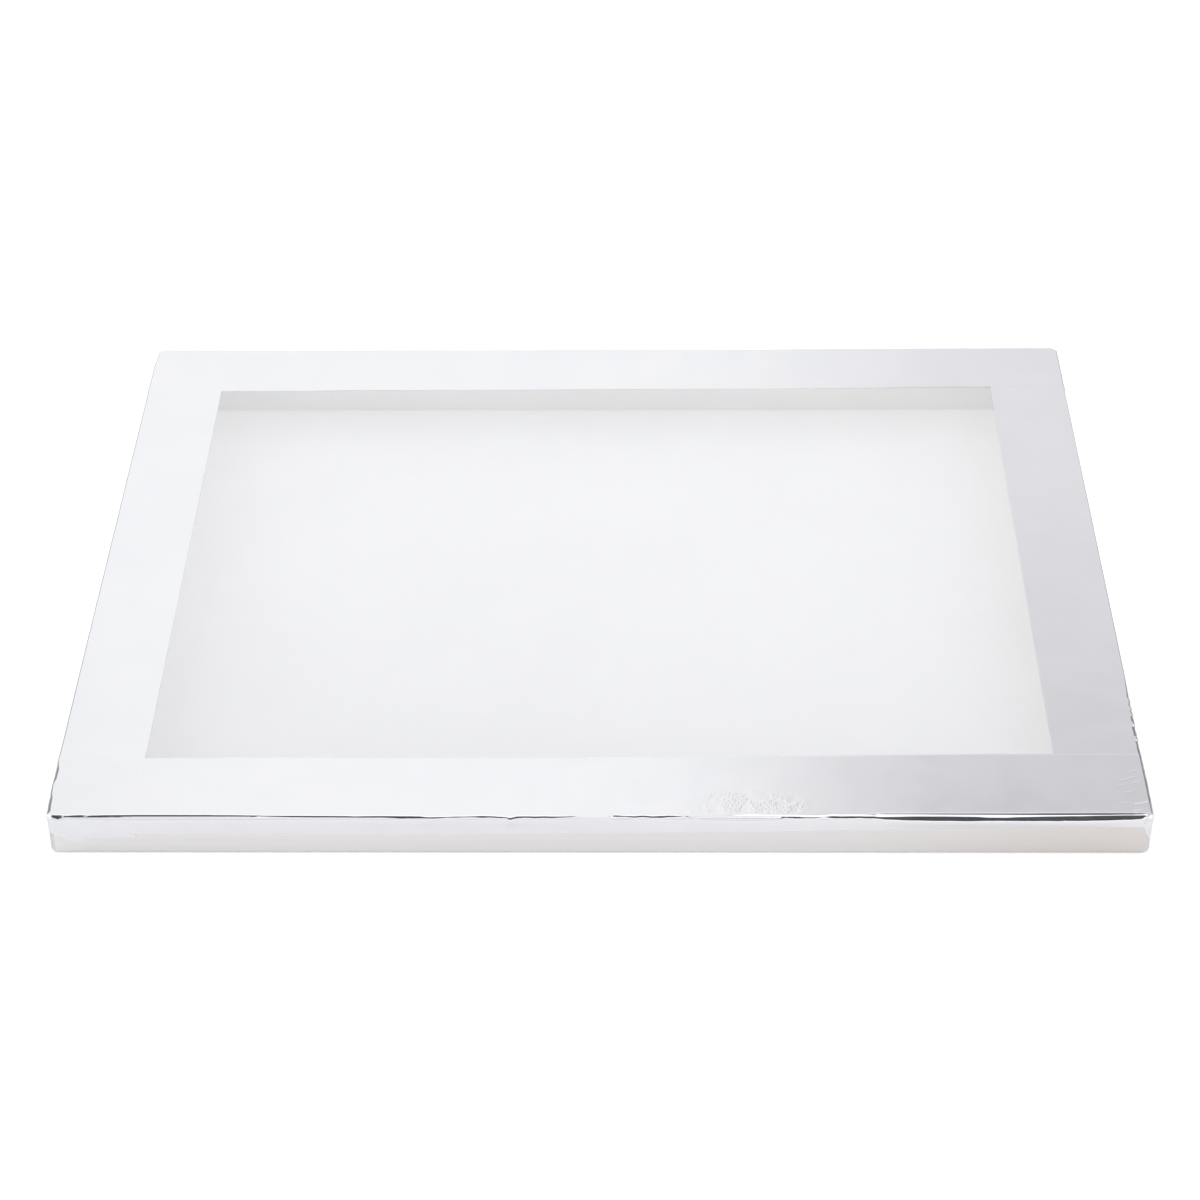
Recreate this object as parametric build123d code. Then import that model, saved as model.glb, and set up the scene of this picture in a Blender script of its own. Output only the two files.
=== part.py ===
"""A stretched screen printing frame, lying mesh side up.

Four hollow aluminium rails are mitred and welded at the corners. Screen mesh is
glued over their top faces, and four strips of foil tape cover the glued border:
each strip lies on the mesh, folds over the outer edge and runs down the side.

Millimetres. The origin is the centre of the underside, X runs along the long
rails, +Y points to the back rail and +Z is up, towards the taped mesh.
"""

from build123d import *
import math
import os

os.makedirs("parts", exist_ok=True)

# The welded frame.
frame_length = 609.6  # outside, along X
frame_width = 508.0  # outside, along Y
rail_width = 38.1
rail_height = 25.4
side_wall = 1.6
face_wall = 2.0  # the walls that the mesh and the press bed bear on
edge_radius = 2.5  # long edges of the extrusion
cavity_radius = 0.8
corner_radius = 3.5  # outer vertical corners, ground after welding

# The corner welds.
seam_half_width = 1.3  # V seams across the top and the underside
seam_depth = 1.2
outer_weld_cut = 3.1  # how far from the corner the outer bevel is cut
fillet_leg = 3.0  # bead inside the corner
fillet_bulge = 0.35

# What is stretched and stuck on top.
glue_thickness = 0.10
mesh_thickness = 0.13
tape_thickness = 0.10
tape_stock_width = 63.5
front_cover = 54.5  # how far each strip reaches in from the outer edge
back_cover = 52.0
left_cover = 48.0
right_cover = 48.5
left_end_drop = 14.8  # how far a strip's folded ends come down
cross_end_drop = 9.0
right_end_drop = 4.0

half_length = frame_length / 2
half_width = frame_width / 2
mesh_underside = rail_height + glue_thickness
stack_height = mesh_underside + mesh_thickness  # the face that the tape sticks to
beyond = frame_length + frame_width  # larger than any piece

CORNERS = {
    "front_left": (-1, -1),
    "front_right": (1, -1),
    "back_left": (-1, 1),
    "back_right": (1, 1),
}


# ---------------------------------------------------------------- rails

def rounded_block(growth, height):
    """The block that the frame would fill if it had no opening, grown all round."""
    block = Pos(0, 0, height / 2) * Box(
        frame_length + 2 * growth, frame_width + 2 * growth, height
    )
    return fillet(block.edges().filter_by(Axis.Z), corner_radius + growth)


def ground_form():
    """The outer form of the welded frame, with its corners ground round."""
    block = rounded_block(0, rail_height)
    rims = block.edges().group_by(Axis.Z)
    return fillet(rims[0] + rims[-1], edge_radius)


def rail_profile():
    """Hollow section of the extrusion, standing in the YZ plane."""
    cavity = RectangleRounded(
        rail_width - 2 * side_wall, rail_height - 2 * face_wall, cavity_radius
    )
    return Plane.YZ * (RectangleRounded(rail_width, rail_height, edge_radius) - cavity)


def mitred_rail(length):
    """A rail along X with its outer side at -Y, cut at 45 degrees at both ends."""
    bar = extrude(rail_profile(), length / 2, both=True)
    kept = Polyline(
        (-length / 2, 0), (length / 2, 0), (0, length / 2), close=True
    )
    wedge = extrude(make_face(kept), rail_height, both=True)
    return Pos(0, rail_width / 2, rail_height / 2) * bar & wedge


def top_seam():
    """V of weld metal across the flat of the front left corner, along the mitre."""
    outer = Vector(-half_length + edge_radius, -half_width + edge_radius, rail_height)
    run = (rail_width - 2 * edge_radius) * math.sqrt(2)
    across = Plane(origin=outer, x_dir=(-1, 1, 0), z_dir=(1, 1, 0))
    groove = Polyline(
        (-seam_half_width, 0), (seam_half_width, 0), (0, -seam_depth), close=True
    )
    return extrude(across * make_face(groove), run)


def outer_seam():
    """Weld metal that fills the bevelled outer corner, ground to the corner radius."""
    corner = Circle(corner_radius)
    far_side = corner_radius * math.sqrt(2) - outer_weld_cut / math.sqrt(2)
    bevel = Rot(0, 0, 45) * Pos(-far_side - corner_radius, 0) * Rectangle(
        2 * corner_radius, 4 * corner_radius
    )
    centre = Pos(
        -half_length + corner_radius, -half_width + corner_radius, edge_radius
    )
    return extrude(centre * (corner & bevel), rail_height - 2 * edge_radius)


def inner_bead():
    """Fillet bead left as welded, up the inside of the corner."""
    bulge = fillet_leg / 2 + fillet_bulge / math.sqrt(2)
    outline = Line((0, 0), (fillet_leg, 0))
    outline += ThreePointArc((fillet_leg, 0), (bulge, bulge), (0, fillet_leg))
    outline += Line((0, fillet_leg), (0, 0))
    corner = Pos(
        -half_length + rail_width, -half_width + rail_width, edge_radius
    )
    return extrude(corner * make_face(outline), rail_height - 2 * edge_radius)


def at_corner(piece, corner):
    """A piece made for the front left corner, mirrored to the named corner."""
    along, across = CORNERS[corner]
    if along > 0:
        piece = mirror(piece, Plane.YZ)
    if across > 0:
        piece = mirror(piece, Plane.XZ)
    return piece


def build_welds():
    """Every weld by name: four passes at each corner."""
    top = top_seam()
    passes = {
        "top_weld": top,
        "bottom_weld": mirror(top, Plane.XY.offset(rail_height / 2)),
        "outer_weld": outer_seam(),
        "inner_weld": inner_bead(),
    }
    return {
        f"{corner}_{name}": at_corner(weld, corner)
        for corner in CORNERS
        for name, weld in passes.items()
    }


def build_rails(welds):
    """The four rails, bevelled where the welds go in."""
    form = ground_form()
    long_rail = Pos(0, -half_width) * mitred_rail(frame_length)
    short_rail = Pos(-half_length, 0) * Rot(0, 0, -90) * mitred_rail(frame_width)
    rails = {
        "front_rail": long_rail,
        "back_rail": mirror(long_rail, Plane.XZ),
        "left_rail": short_rail,
        "right_rail": mirror(short_rail, Plane.YZ),
    }
    seams = [weld for name, weld in welds.items() if "inner" not in name]
    return {name: (rail & form) - seams for name, rail in rails.items()}


# ---------------------------------------------------------------- mesh and glue

def flat_top(thickness):
    """A sheet as large as the flat of the frame's top face, solid across the middle."""
    outline = RectangleRounded(
        frame_length - 2 * edge_radius,
        frame_width - 2 * edge_radius,
        corner_radius - edge_radius,
    )
    return extrude(outline, thickness)


def build_glue():
    """Film of adhesive between the rails and the mesh."""
    opening = Rectangle(
        frame_length - 2 * (rail_width - edge_radius),
        frame_width - 2 * (rail_width - edge_radius),
    )
    film = flat_top(glue_thickness) - extrude(opening, glue_thickness)
    return Pos(0, 0, rail_height) * film


def build_mesh():
    """The stretched fabric, trimmed at the outer edge of the flat."""
    return Pos(0, 0, mesh_underside) * flat_top(mesh_thickness)


# ---------------------------------------------------------------- tape

def wrapped_form(layers):
    """The taped outside of the frame after this many layers of tape."""
    growth = layers * tape_thickness
    block = rounded_block(growth, stack_height + growth)
    rim = block.edges().group_by(Axis.Z)[-1]
    return fillet(rim, edge_radius + growth)


def span(low, high):
    """A box between two corners."""
    low, high = Vector(*low), Vector(*high)
    size = high - low
    return Pos(*((low + high) / 2)) * Box(size.X, size.Y, size.Z)


def side_drop_level(cover):
    """Height of a strip's lower edge, from what its width leaves after the top."""
    bend = edge_radius * math.pi / 2
    down_the_side = tape_stock_width - (cover - edge_radius) - bend
    return stack_height - edge_radius - down_the_side


def strip_region(cover, end_drop, facing):
    """All that a strip covers: its side, the top and the two ends folded down.

    facing is the side it folds over, as a direction in X and Y.
    """
    along_x = facing[0] == 0
    depth, run = (half_width, half_length) if along_x else (half_length, half_width)
    over_side = span(
        (-beyond, -beyond, side_drop_level(cover)), (beyond, -depth + cover, beyond)
    )
    end_flat = run - corner_radius
    end_level = stack_height - end_drop
    for side in (-1, 1):
        below_end = span(
            (min(side * end_flat, side * beyond), -depth + corner_radius, 0),
            (max(side * end_flat, side * beyond), beyond, end_level),
        )
        over_side -= below_end
    turn = {(0, -1): 0, (1, 0): 90, (0, 1): 180, (-1, 0): -90}[facing]
    return Rot(0, 0, turn) * over_side


def build_tapes():
    """The four strips in the order they were laid: right, front and back, left."""
    first = wrapped_form(1) - wrapped_form(0)
    second = wrapped_form(2) - wrapped_form(1)
    right_edge = half_length - right_cover
    front_edge = -half_width + front_cover
    back_edge = half_width - back_cover
    front = strip_region(front_cover, cross_end_drop, (0, -1))
    back = strip_region(back_cover, cross_end_drop, (0, 1))
    left = strip_region(left_cover, left_end_drop, (-1, 0))
    right = strip_region(right_cover, right_end_drop, (1, 0))
    step = tape_thickness
    left_of_right_strip = span((-beyond, -beyond, 0), (right_edge, beyond, beyond))
    on_right_strip = span((right_edge - step, -beyond, 0), (beyond, beyond, beyond))
    between = span((-beyond, front_edge, 0), (0, back_edge, beyond))
    on_front = span((-beyond, -beyond, 0), (0, front_edge + step, beyond))
    on_back = span((-beyond, back_edge - step, 0), (0, beyond, beyond))
    return {
        "right_tape": first & right,
        "front_tape": (first & front & left_of_right_strip)
        + (second & front & on_right_strip),
        "back_tape": (first & back & left_of_right_strip)
        + (second & back & on_right_strip),
        "left_tape": (first & left & between)
        + (second & left & on_front)
        + (second & left & on_back),
    }


# ---------------------------------------------------------------- export

welds = build_welds()
nodes = {
    **build_rails(welds),
    **welds,
    "adhesive_film": build_glue(),
    "screen_mesh": build_mesh(),
    **build_tapes(),
}
for node_name, node_shape in nodes.items():
    export_step(node_shape, f"parts/{node_name}.step")
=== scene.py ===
"""Looks of a stretched screen printing frame: foil tape, mesh, rails and welds.

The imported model's frame: the origin is the centre of the underside, +X points to
the right rail, +Y to the back rail and +Z up, towards the taped mesh. Camera and
floor are in metres. Where a mesh is worked out, lengths are in millimetres.
"""

import math

import bpy
import numpy as np
from mathutils import Matrix, Vector


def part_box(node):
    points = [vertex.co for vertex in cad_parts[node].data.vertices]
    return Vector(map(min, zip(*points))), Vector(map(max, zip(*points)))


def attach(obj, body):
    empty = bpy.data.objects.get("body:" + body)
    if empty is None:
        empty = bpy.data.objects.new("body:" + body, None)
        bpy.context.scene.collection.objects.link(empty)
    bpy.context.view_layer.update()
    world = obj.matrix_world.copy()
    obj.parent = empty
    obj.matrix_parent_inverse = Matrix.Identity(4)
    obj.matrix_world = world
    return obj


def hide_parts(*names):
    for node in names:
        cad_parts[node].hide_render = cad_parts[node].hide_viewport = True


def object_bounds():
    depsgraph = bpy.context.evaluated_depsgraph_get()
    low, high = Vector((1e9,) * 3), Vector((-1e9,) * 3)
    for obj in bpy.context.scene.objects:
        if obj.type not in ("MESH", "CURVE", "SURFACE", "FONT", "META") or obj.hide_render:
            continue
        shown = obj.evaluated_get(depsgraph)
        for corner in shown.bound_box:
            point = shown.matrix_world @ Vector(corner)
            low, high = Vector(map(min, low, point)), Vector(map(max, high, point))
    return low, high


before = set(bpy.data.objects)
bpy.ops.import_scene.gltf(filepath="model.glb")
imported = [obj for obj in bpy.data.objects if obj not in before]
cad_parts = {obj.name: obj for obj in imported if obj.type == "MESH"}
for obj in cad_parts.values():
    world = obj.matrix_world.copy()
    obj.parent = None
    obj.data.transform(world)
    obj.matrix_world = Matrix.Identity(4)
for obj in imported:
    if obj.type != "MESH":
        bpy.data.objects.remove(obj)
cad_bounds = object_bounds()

MM = 0.001

# ---------- camera

# Fitted by a program to the frame's corners in the photo.
camera_place = Vector((0.0235, -1.6176, 1.1217))
camera_pitch = 0.60848  # below the horizon, in radians
camera_yaw = -0.01578
camera_roll = -0.00962
camera_lens = 95.17  # on the default 36 mm sensor
camera_reach = 50  # how far it sees


def make_camera():
    """The camera, aimed by its pitch, yaw and roll."""
    level = math.cos(camera_pitch)
    forward = Vector(
        (math.sin(camera_yaw) * level, math.cos(camera_yaw) * level, -math.sin(camera_pitch))
    )
    flat_right = Vector((math.cos(camera_yaw), -math.sin(camera_yaw), 0))
    flat_up = flat_right.cross(forward)
    turn = Matrix.Rotation(-camera_roll, 3, forward)
    right, up = turn @ flat_right, turn @ flat_up
    data = bpy.data.cameras.new("camera")
    data.lens = camera_lens
    data.clip_end = camera_reach
    camera = bpy.data.objects.new("camera", data)
    axes = Matrix((right, up, -forward)).transposed()
    camera.matrix_world = Matrix.Translation(camera_place) @ axes.to_4x4()
    bpy.context.scene.collection.objects.link(camera)
    bpy.context.scene.camera = camera


# ---------- node trees


class Nodes:
    """Short calls for building one node tree."""

    def __init__(self, tree):
        self.tree = tree

    def add(self, kind, settings=None, **inputs):
        """A node of that kind. Inputs are values or other nodes' outputs."""
        node = self.tree.nodes.new("ShaderNode" + kind)
        for name, value in (settings or {}).items():
            setattr(node, name, value)
        for name, value in inputs.items():
            self.feed(node.inputs[name.replace("_", " ")], value)
        return node

    def feed(self, socket, value):
        """Links an output to the socket, or sets the socket to a value."""
        if isinstance(value, bpy.types.NodeSocket):
            self.tree.links.new(value, socket)
        else:
            socket.default_value = value

    def math(self, operation, *values):
        node = self.add("Math", {"operation": operation})
        for socket, value in zip(node.inputs, values):
            self.feed(socket, value)
        return node.outputs[0]

    def smooth(self, value, low, high, start=0.0, end=1.0):
        """start below low, end above high and a smooth step between."""
        node = self.add("MapRange", {"interpolation_type": "SMOOTHSTEP"})
        for socket, number in zip(node.inputs, (value, low, high, start, end)):
            self.feed(socket, number)
        return node.outputs[0]

    def mix(self, share, first, second):
        """A colour from first, at share 0, to second, at share 1."""
        node = self.add("Mix", {"data_type": "RGBA"})
        for socket, value in zip(
            (node.inputs[0], node.inputs[6], node.inputs[7]), (share, first, second)
        ):
            self.feed(socket, value)
        return node.outputs[2]

    def noise(self, where, per_metre, detail=2.0, roughness=0.5):
        """Noise of that many features a metre along each axis of where."""
        scaled = self.add("Mapping", Vector=where)
        scaled.inputs["Scale"].default_value = per_metre
        made = self.add("TexNoise", Vector=scaled.outputs[0], Scale=1.0)
        made.inputs["Detail"].default_value = detail
        made.inputs["Roughness"].default_value = roughness
        return made.outputs["Fac"]

    def crease(self, across, along_it, start, end, width):
        """1 on the line from start to end in those coordinates, falling to 0 beside it."""
        run = (end[0] - start[0], end[1] - start[1])
        length = math.hypot(*run)
        way = (run[0] / length, run[1] / length)

        def measured(first, second, offset):
            scaled = self.math("MULTIPLY", across, first)
            summed = self.math("MULTIPLY_ADD", along_it, second, scaled)
            return self.math("SUBTRACT", summed, offset)

        ahead = measured(way[0], way[1], way[0] * start[0] + way[1] * start[1] + length / 2)
        aside = measured(way[1], -way[0], way[1] * start[0] - way[0] * start[1])
        near = self.smooth(self.math("ABSOLUTE", aside), 0.0, width, 1.0, 0.0)
        half = length / 2
        within = self.smooth(self.math("ABSOLUTE", ahead), half - width, half + width, 1.0, 0.0)
        return self.math("MULTIPLY", near, within)

    def bump(self, height, depth, under=None):
        """A normal from a height of 0 to 1 that stands for that depth in metres."""
        node = self.add("Bump", Height=height, Strength=1.0, Distance=depth)
        if under is not None:
            self.feed(node.inputs["Normal"], under)
        return node.outputs[0]


# ---------- studio

# Levels are shares of the sky's. Angles are in degrees, and where there are two, the light
# changes smoothly between them. An azimuth is counted from straight behind the frame towards
# the right, a lean from straight up towards the back, and a reach is a direction's X.
sky_level = 1.04
front_level = 0.90  # the room behind the camera
front_leans = (-42.0, -30.0)
side_lift = 0.6  # how much brighter the lights at the left and right are
side_reaches = (0.45, 0.8)
low_level = 0.87  # the walls low down, as metal reflects them
low_elevations = (20.0, 29.0)
screen_levels = (0.82, 0.52)  # the grey screen behind on the right, low and high up
screen_elevations = (31.0, 43.5)
screen_top = (44.0, 52.0)
screen_left, screen_right = (0.3, 7.9), (40.0, 62.0)
gap_lean = 4.0  # the middle of the dark gap between the top lights
gap_edge = (11.5, 15.0)  # degrees to either side of that
gap_levels = (0.02, 0.09)  # at the gap's front and at its back
gap_shade = (-8.0, 14.0)  # the leans of those levels
glow = 0.28  # how much brighter the top lights beside the gap are
glow_edge = (27.0, 32.0)  # degrees to either side of the gap's middle
overhead_reaches = (0.28, 0.34)  # where the gap and the glow end
board_levels = (0.36, 0.32)  # the narrow dark boards behind, on the left and right
board_inner, board_outer = (22.0, 27.0), (50.0, 60.0)
board_top = (20.0, 27.0)
board_change = (-5.0, 5.0)  # the azimuths between the left board's level and the right one's
left_level = 0.93  # the back wall at its left end
left_azimuths = (-9.0, -13.5)
left_elevations = (33.0, 38.0)


def make_world():
    """A pale studio, with a grey screen, a dark gap and two dark boards in it."""
    world = bpy.data.worlds.new("studio")
    bpy.context.scene.world = world
    world.use_nodes = True
    n = Nodes(world.node_tree)
    n.tree.nodes.clear()
    way = n.add("TexCoord").outputs["Generated"]
    split = n.add("SeparateXYZ", Vector=way).outputs
    degrees = 180 / math.pi
    azimuth = n.math("MULTIPLY", n.math("ARCTAN2", split["X"], split["Y"]), degrees)
    elevation = n.math("MULTIPLY", n.math("ARCSINE", split["Z"]), degrees)
    lean = n.math("MULTIPLY", n.math("ARCTAN2", split["Y"], split["Z"]), degrees)
    aside = n.math("ABSOLUTE", azimuth)
    sideways = n.math("ABSOLUTE", split["X"])

    def dimmed(share, level):
        """1 where the share is 0, the level where it is 1."""
        return n.math("ADD", 1.0, n.math("MULTIPLY", share, n.math("SUBTRACT", level, 1.0)))

    def both(first, second):
        return n.math("MULTIPLY", first, second)

    def below(value, limits):
        """1 below the limits, 0 above them."""
        return n.smooth(value, *limits, 1.0, 0.0)

    near_right = n.smooth(azimuth, *screen_left)
    screen = both(both(near_right, below(azimuth, screen_right)), below(elevation, screen_top))
    screened = dimmed(screen, n.smooth(elevation, *screen_elevations, *screen_levels))

    off_gap = n.math("ABSOLUTE", n.math("SUBTRACT", lean, gap_lean))
    overhead = below(sideways, overhead_reaches)
    gap = both(below(off_gap, gap_edge), overhead)
    gap_level = n.smooth(lean, *gap_shade, *gap_levels)
    lit = n.math("ADD", 1.0, both(both(below(off_gap, glow_edge), overhead), glow))
    top = both(lit, dimmed(gap, gap_level))

    across = both(n.smooth(aside, *board_inner), below(aside, board_outer))
    board = both(below(elevation, board_top), across)
    boarded = dimmed(board, n.smooth(azimuth, *board_change, *board_levels))

    front = n.smooth(lean, *front_leans, front_level, 1.0)
    far_left = both(n.smooth(azimuth, *left_azimuths), n.smooth(elevation, *left_elevations))
    back = both(dimmed(far_left, left_level), front)
    rays = n.add("LightPath").outputs
    low = both(below(elevation, low_elevations), rays["Is Glossy Ray"])
    beside = both(both(n.smooth(sideways, *side_reaches), side_lift), dimmed(low, 0.0))
    lift = both(n.math("ADD", sky_level, beside), dimmed(low, low_level))
    level = both(both(both(screened, top), both(boarded, back)), lift)

    tint = n.mix(near_right, (0.985, 0.993, 1.0, 1), (0.992, 0.982, 1.015, 1))
    seen = n.add("Mix", {"data_type": "FLOAT"})
    n.feed(seen.inputs[0], rays["Is Camera Ray"])
    n.feed(seen.inputs[2], level)
    n.feed(seen.inputs[3], 1.0)
    light = n.add("Background", Color=tint, Strength=seen.outputs[0])
    n.add("OutputWorld", Surface=light.outputs[0])


def principled(name):
    """A new material, its node helper and its Principled node."""
    material = bpy.data.materials.new(name)
    material.use_nodes = True
    return material, Nodes(material.node_tree), material.node_tree.nodes["Principled BSDF"]


floor_half = 12.0
floor_gap = 0.0002  # how far it lies below the frame
floor_border = 0.03  # over which its lift changes at the frame's outline
beside_lift = 0.3  # beside the frame
painted_lifts_under_mesh = (0.03, 0.18)  # painted light seen through the mesh, at the front and at the back


def make_floor():
    """A matt white floor, lifted for the camera alone, more so beside the frame. Under the mesh the
    lift is painted light that grows towards the back, and reflections see a painted darker copy of
    its colour.
    """
    material, n, shader = principled("floor")
    rays = n.add("LightPath").outputs
    # Painted reflection shade: glossy rays see a darker copy of the floor's colour than diffuse
    # light does.
    n.feed(
        shader.inputs["Base Color"],
        n.mix(rays["Is Glossy Ray"], (0.95, 0.95, 0.95, 1), (0.925, 0.925, 0.925, 1)),
    )
    shader.inputs["Roughness"].default_value = 1.0
    shader.inputs["Specular IOR Level"].default_value = 0.0
    split = n.add("SeparateXYZ", Vector=n.add("TexCoord").outputs["Object"]).outputs
    low, high = cad_bounds
    beside_x = n.smooth(n.math("ABSOLUTE", split["X"]), high[0] - floor_border, high[0])
    beside_y = n.smooth(n.math("ABSOLUTE", split["Y"]), high[1] - floor_border, high[1])
    # Painted light: under the mesh the floor glows for the camera, more towards the back.
    under = n.smooth(split["Y"], low[1], high[1], *painted_lifts_under_mesh)
    lift = n.smooth(n.math("MAXIMUM", beside_x, beside_y), 0.0, 1.0, under, beside_lift)
    shader.inputs["Emission Color"].default_value = (1, 1, 1, 1)
    n.feed(shader.inputs["Emission Strength"], n.math("MULTIPLY", rays["Is Camera Ray"], lift))
    data = bpy.data.meshes.new("floor")
    corners = ((-1, -1), (1, -1), (1, 1), (-1, 1))
    data.from_pydata([(x * floor_half, y * floor_half, 0) for x, y in corners], [], [(0, 1, 2, 3)])
    data.materials.append(material)
    floor = bpy.data.objects.new("floor", data)
    bpy.context.scene.collection.objects.link(floor)
    floor.location.z = -floor_gap


# ---------- materials


def foil(name, along_x, handled=None):
    """Aluminium foil tape: bright, faintly streaked by the rolls, pitted in handling.

    handled adds a strip's own creases: it takes the nodes, the place and the normal so far.
    """
    material, n, shader = principled(name)
    where = n.add("TexCoord").outputs["Object"]
    tint = n.noise(where, (22, 22, 22), detail=3.0)
    colour = n.mix(
        n.smooth(tint, 0.35, 0.65), (0.872, 0.876, 0.892, 1), (0.893, 0.889, 0.905, 1)
    )
    n.feed(shader.inputs["Base Color"], colour)
    shader.inputs["Metallic"].default_value = 1.0
    streaks = (9, 2600, 2600) if along_x else (2600, 9, 2600)
    rolled = n.noise(where, streaks, detail=3.0, roughness=0.6)
    blotch = n.noise(where, (60, 60, 60), detail=4.0)
    dull = n.smooth(blotch, 0.3, 0.7, 0.10, 0.14)
    dull = n.math("ADD", n.smooth(rolled, 0.3, 0.7, 0.0, 0.04), dull)
    n.feed(shader.inputs["Roughness"], dull)
    grain = n.bump(rolled, 0.0000012)
    orange = n.bump(n.noise(where, (260, 260, 260), detail=2.0), 0.000006, grain)
    pits = n.add("TexVoronoi", {"feature": "F1"}, Vector=where, Scale=95.0)
    pits.inputs["Randomness"].default_value = 1.0
    pit = n.smooth(pits.outputs["Distance"], 0.0, 0.09)
    normal = n.bump(pit, 0.00002, orange)
    if handled:
        normal = handled(n, where, normal)
    n.feed(shader.inputs["Normal"], normal)
    return material


crinkle_height = 0.16  # millimetres


def front_handling(n, where, normal):
    """A crinkled patch beside the fold and nicks and wrinkles at the right corner."""
    split = n.add("SeparateXYZ", Vector=where).outputs
    x, y, z = split["X"], split["Y"], split["Z"]
    on_top = n.smooth(z, 0.0252, 0.0255)
    crinkle = n.noise(where, (620, 520, 620), detail=3.0, roughness=0.55)
    crinkle = n.math("MULTIPLY", n.smooth(crinkle, 0.3, 0.75), on_top)
    for limit in (  # the patch, ragged at its edges
        n.smooth(x, 0.044, 0.080),
        n.smooth(x, 0.104, 0.118, 1.0, 0.0),
        n.smooth(y, -0.2505, -0.2495),
        n.smooth(y, -0.240, -0.228, 1.0, 0.0),
        n.smooth(n.noise(where, (130, 130, 130)), 0.42, 0.6),
    ):
        crinkle = n.math("MULTIPLY", crinkle, limit)
    marks = (  # start, end, width and height in millimetres
        ((296.8, -241.6), (303.2, -239.3), 0.65, 0.22),
        ((295.4, -247.5), (299.6, -246.3), 0.6, 0.2),
        ((290.5, -221.5), (298.5, -218.0), 0.8, 0.04),
        ((287.0, -226.5), (292.0, -225.0), 0.6, 0.025),
        ((291.5, -232.0), (297.5, -230.5), 0.7, 0.03),
        ((289.0, -241.5), (294.0, -240.5), 0.6, 0.03),
        ((283.5, -246.0), (286.0, -245.6), 0.6, 0.03),
        ((270.0, -239.0), (273.5, -238.6), 0.6, 0.03),
        ((296.5, -213.5), (301.0, -212.0), 0.7, 0.035),
        ((297.5, -223.5), (301.5, -221.5), 0.7, 0.045),
        ((214.0, -234.0), (217.0, -233.4), 0.5, 0.03),
        ((46.5, -249.3), (51.0, -248.4), 0.5, 0.08),
        ((38.0, -240.5), (42.0, -239.8), 0.5, 0.05),
    )
    rise = n.math("MULTIPLY", crinkle, crinkle_height)
    for start, end, width, height in marks:
        ends = [[v * MM for v in point] for point in (start, end)]
        rise = n.math("MULTIPLY_ADD", n.crease(x, y, *ends, width * MM), height, rise)
    return n.bump(n.math("MULTIPLY", rise, on_top), MM, normal)


def extruded(name, along_x):
    """Mill finish aluminium, lined along the extrusion, with painted shade that makes it darker and
    warmer towards the right.
    """
    material, n, shader = principled(name)
    where = n.add("TexCoord").outputs["Object"]
    fine = (6, 3400, 3400) if along_x else (3400, 6, 3400)
    broad = (3, 330, 330) if along_x else (330, 3, 330)
    lines = n.noise(where, fine, detail=2.0)
    bands = n.noise(where, broad, detail=3.0)
    blotch = n.noise(where, (35, 35, 35), detail=4.0)
    colour = n.mix(
        n.smooth(bands, 0.3, 0.7), (0.845, 0.832, 0.820, 1), (0.870, 0.858, 0.848, 1)
    )
    x = n.add("SeparateXYZ", Vector=where).outputs["X"]
    # Painted shade: the colour turns darker and warmer towards the right.
    colour = n.mix(n.smooth(x, 0.08, 0.34), colour, (0.778, 0.741, 0.707, 1))
    n.feed(shader.inputs["Base Color"], colour)
    shader.inputs["Metallic"].default_value = 1.0
    rough = n.smooth(blotch, 0.3, 0.7, 0.36, 0.42)
    rough = n.math("ADD", rough, n.smooth(bands, 0.3, 0.7, 0.0, 0.02))
    n.feed(shader.inputs["Roughness"], rough)
    n.feed(shader.inputs["Normal"], n.bump(lines, 0.000003, n.bump(bands, 0.000003)))
    return material


def ground_weld():
    """Weld metal ground flush, with short crossing sanding marks."""
    material, n, shader = principled("ground_weld")
    where = n.add("TexCoord").outputs["Object"]
    swirl = n.noise(where, (500, 500, 500), detail=5.0, roughness=0.65)
    turned = n.add("Mapping", Vector=where)
    turned.inputs["Rotation"].default_value = (0, 0, math.radians(38))
    marks = n.noise(turned.outputs[0], (120, 4200, 900), detail=2.0)
    n.feed(
        shader.inputs["Base Color"],
        n.mix(n.smooth(swirl, 0.3, 0.7), (0.70, 0.69, 0.68, 1), (0.80, 0.79, 0.78, 1)),
    )
    shader.inputs["Metallic"].default_value = 1.0
    n.feed(shader.inputs["Roughness"], n.smooth(marks, 0.3, 0.7, 0.30, 0.50))
    n.feed(shader.inputs["Normal"], n.bump(marks, 0.00001, n.bump(swirl, 0.00002)))
    return material


def weld_bead():
    """Weld metal as it froze: dull silver with soot between the ripples."""
    material, n, shader = principled("weld_bead")
    where = n.add("TexCoord").outputs["Object"]
    soot = n.noise(where, (700, 700, 300), detail=5.0, roughness=0.6)
    n.feed(
        shader.inputs["Base Color"],
        n.mix(n.smooth(soot, 0.4, 0.75), (0.74, 0.735, 0.73, 1), (0.42, 0.41, 0.40, 1)),
    )
    shader.inputs["Metallic"].default_value = 1.0
    n.feed(shader.inputs["Roughness"], n.smooth(soot, 0.3, 0.7, 0.28, 0.5))
    n.feed(shader.inputs["Normal"], n.bump(soot, 0.00003))
    return material


thread_pitch = 0.00023  # metres from one thread of the mesh to the next
mesh_cover = 0.62  # share of the view that the threads fill


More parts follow.
